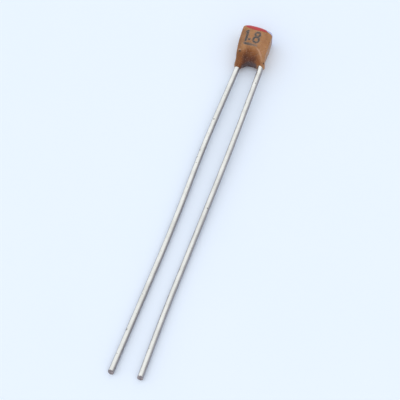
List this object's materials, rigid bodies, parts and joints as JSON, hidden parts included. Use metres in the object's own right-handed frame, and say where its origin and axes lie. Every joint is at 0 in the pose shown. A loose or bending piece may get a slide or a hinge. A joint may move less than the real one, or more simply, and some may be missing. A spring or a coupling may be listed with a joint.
{
  "type": "ceramic plate capacitor",
  "caption": "Miniature ceramic capacitor: a brown dipped lacquer plate with red and violet paint on its top edge, a printed value and two stiff wire leads.",
  "frame": {"origin": "on the flat back of the lacquer coat, under the middle of the ceramic plate", "axes": "+X across the body to the right in front view, +Y along the body from the lead tips to its top, +Z out of the printed front face; it lies on its back"},
  "size_m": [0.0056, 0.0409, 0.002],
  "materials": {
    "ceramic": "matte",
    "silver": "satin",
    "solder": "satin",
    "tinned_wire": "satin",
    "lacquer": "satin",
    "red_paint": "satin",
    "violet_paint": "satin",
    "ink": "matte"
  },
  "bodies": {
    "root": {"ceramic_plate": "ceramic", "front_electrode": "silver", "back_electrode": "silver", "front_solder": "solder", "back_solder": "solder", "left_lead": "tinned_wire", "right_lead": "tinned_wire", "lacquer_coat": "lacquer", "red_mark": "red_paint", "violet_mark": "violet_paint", "value_print": "ink"}
  },
  "joints": []
}
